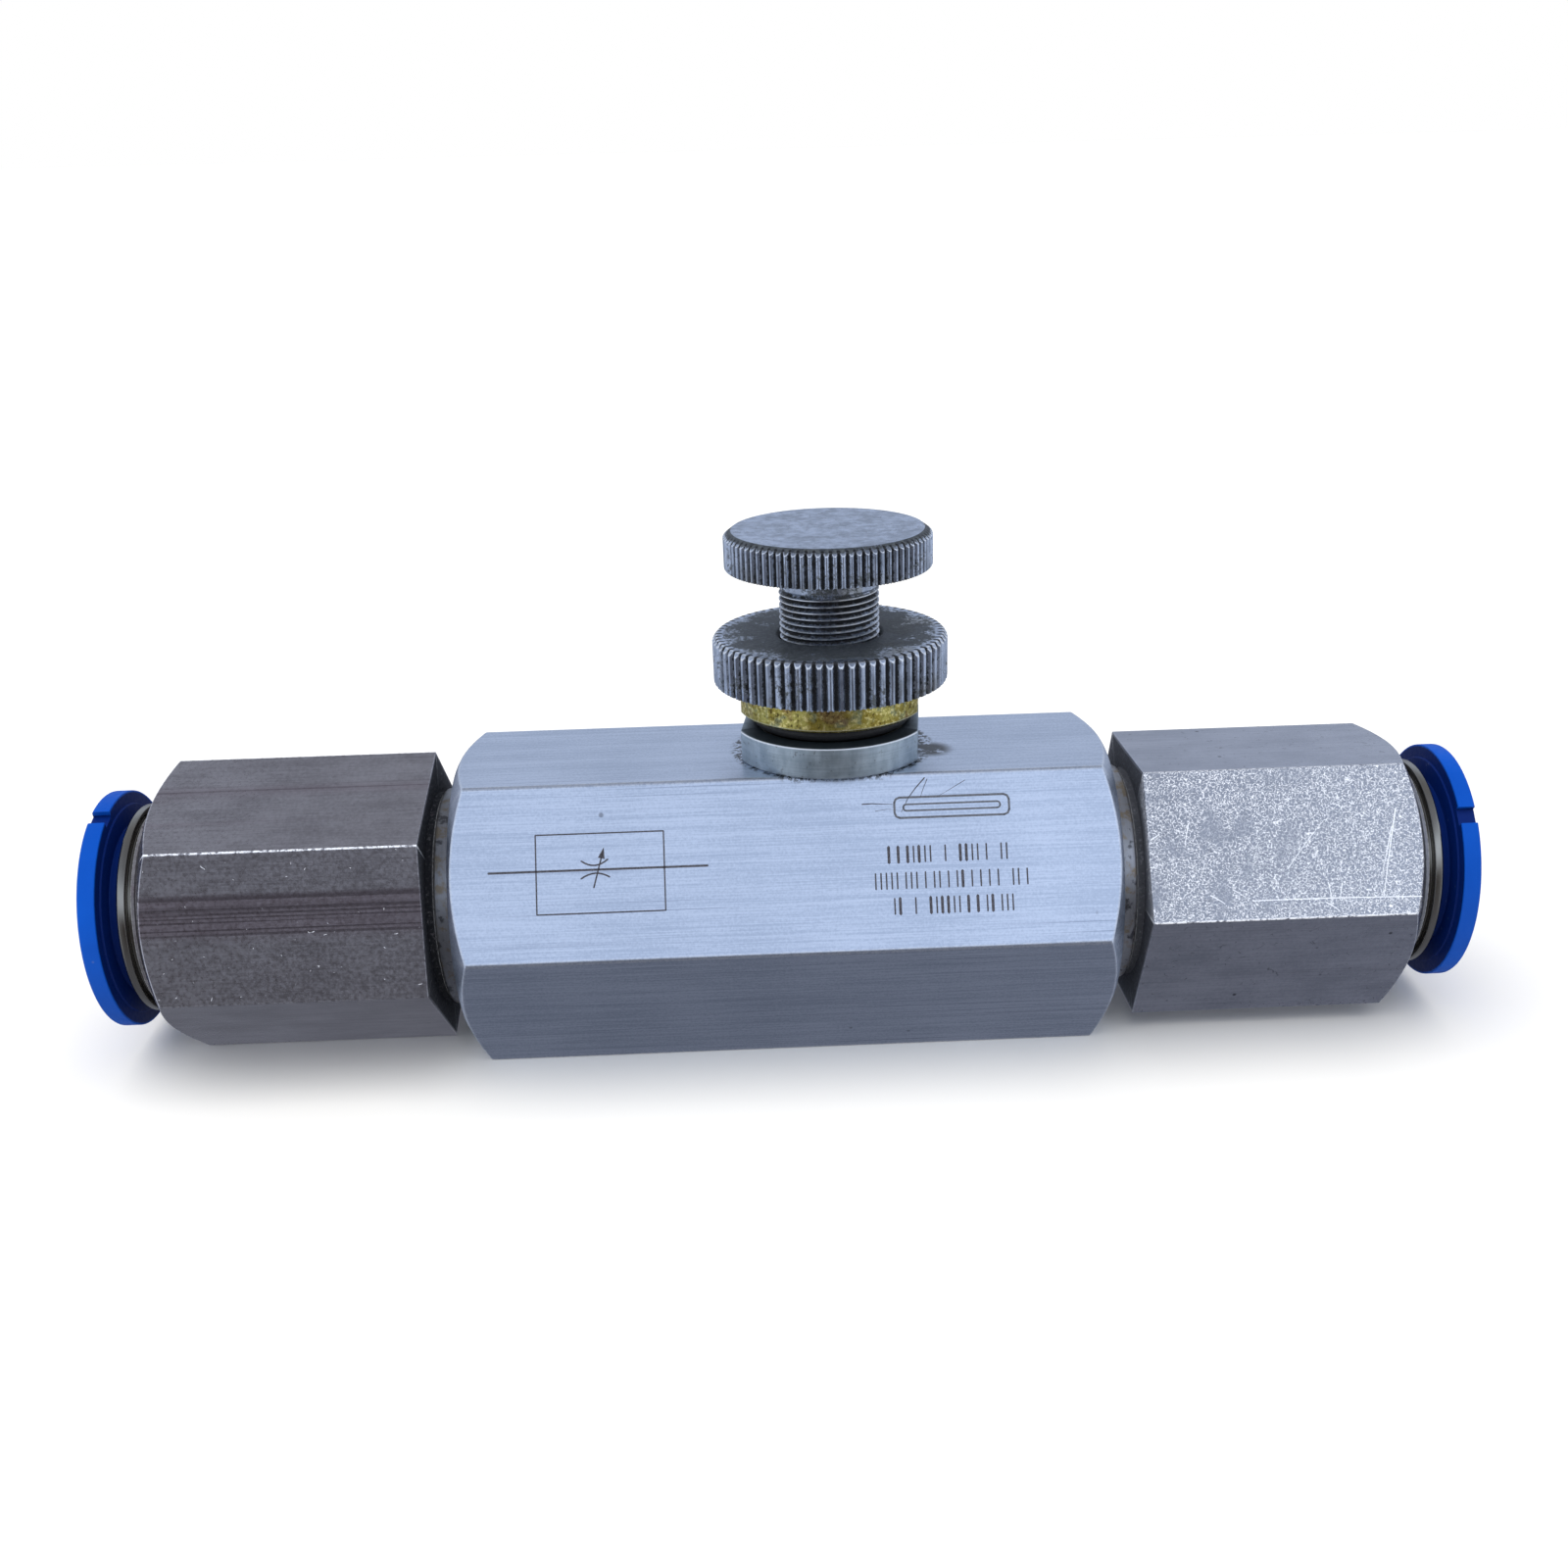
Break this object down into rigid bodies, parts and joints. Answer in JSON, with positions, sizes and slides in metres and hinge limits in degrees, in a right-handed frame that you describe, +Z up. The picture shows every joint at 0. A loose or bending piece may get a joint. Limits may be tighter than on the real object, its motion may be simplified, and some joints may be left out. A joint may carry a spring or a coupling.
{
  "type": "flow control valve",
  "caption": "In-line needle flow control valve: hexagonal body, knurled adjusting screw with lock nut, and a push-in tube fitting with a release ring at each end.",
  "frame": {"origin": "centre of the body's bottom flat, on which the valve stands; the flow axis is 12 mm above it", "axes": "+X along the flow axis, towards the right-hand fitting with the screw nearer that end; +Z up the adjusting screw; the marked face looks to -Y and up"},
  "size_m": [0.1106, 0.0276, 0.0419],
  "materials": {
    "anodised_aluminium": "satin anodised, fine lengthwise brushing",
    "turned_aluminium": "turned, satin",
    "yellow_passivated_steel": "yellow passivated, slightly grainy",
    "black_rubber": "moulded rubber",
    "knurled_steel": "turned and knurled steel, zinc plated, dirty in the grooves",
    "needle_steel": "ground stainless steel",
    "spring_steel": "stamped stainless spring steel",
    "nickel_plated_brass": "nickel plated brass, drawn bar surface, scratched",
    "washer_metal": "turned soft metal, dull",
    "support_plastic": "moulded plastic",
    "sleeve_steel": "bright pressed stainless steel",
    "blue_plastic": "moulded plastic, semi gloss"
  },
  "bodies": {
    "housing": {"valve_body": "anodised_aluminium", "collar_ring": "turned_aluminium", "guide_bush": "yellow_passivated_steel", "flange_o_ring": "black_rubber", "needle_o_ring": "black_rubber", "bush_seal_ring": "black_rubber", "fitting_body_left": "nickel_plated_brass", "sealing_washer_left": "washer_metal", "tube_seal_left": "black_rubber", "seal_support_ring_left": "support_plastic", "claw_ring_left": "spring_steel", "retaining_sleeve_left": "sleeve_steel", "fitting_body_right": "nickel_plated_brass", "sealing_washer_right": "washer_metal", "tube_seal_right": "black_rubber", "seal_support_ring_right": "support_plastic", "claw_ring_right": "spring_steel", "retaining_sleeve_right": "sleeve_steel"},
    "needle_carrier": {"throttle_needle": "needle_steel"},
    "screw": {"adjusting_screw": "knurled_steel", "needle_clip": "spring_steel"},
    "nut": {"lock_nut": "knurled_steel"},
    "release_left": {"release_ring_left": "blue_plastic"},
    "release_right": {"release_ring_right": "blue_plastic"}
  },
  "joints": [
    {"name": "needle_lift", "type": "slide", "parent": "housing", "child": "needle_carrier", "axis": [0, 0, 1], "range_m": [-0.004, 0.001]},
    {"name": "screw_turn", "type": "hinge", "parent": "needle_carrier", "child": "screw", "pos_m": [0.0041, 0, 0.03], "axis": [0, 0, 1], "range_deg": [-2880, 720]},
    {"name": "nut_turn", "type": "hinge", "parent": "housing", "child": "nut", "pos_m": [0.0041, 0, 0.032], "axis": [0, 0, 1], "range_deg": [0, 90]},
    {"name": "release_push_left", "type": "slide", "parent": "housing", "child": "release_left", "axis": [1, 0, 0], "range_m": [0, 0.001], "stiffness_N_per_m": 1000, "springref_m": -0.0005},
    {"name": "release_push_right", "type": "slide", "parent": "housing", "child": "release_right", "axis": [-1, 0, 0], "range_m": [0, 0.001], "stiffness_N_per_m": 1000, "springref_m": -0.0005}
  ],
  "couplings": [
    {"joint": "screw_turn", "follows": "needle_lift", "rad_per_m": 12566}
  ]
}
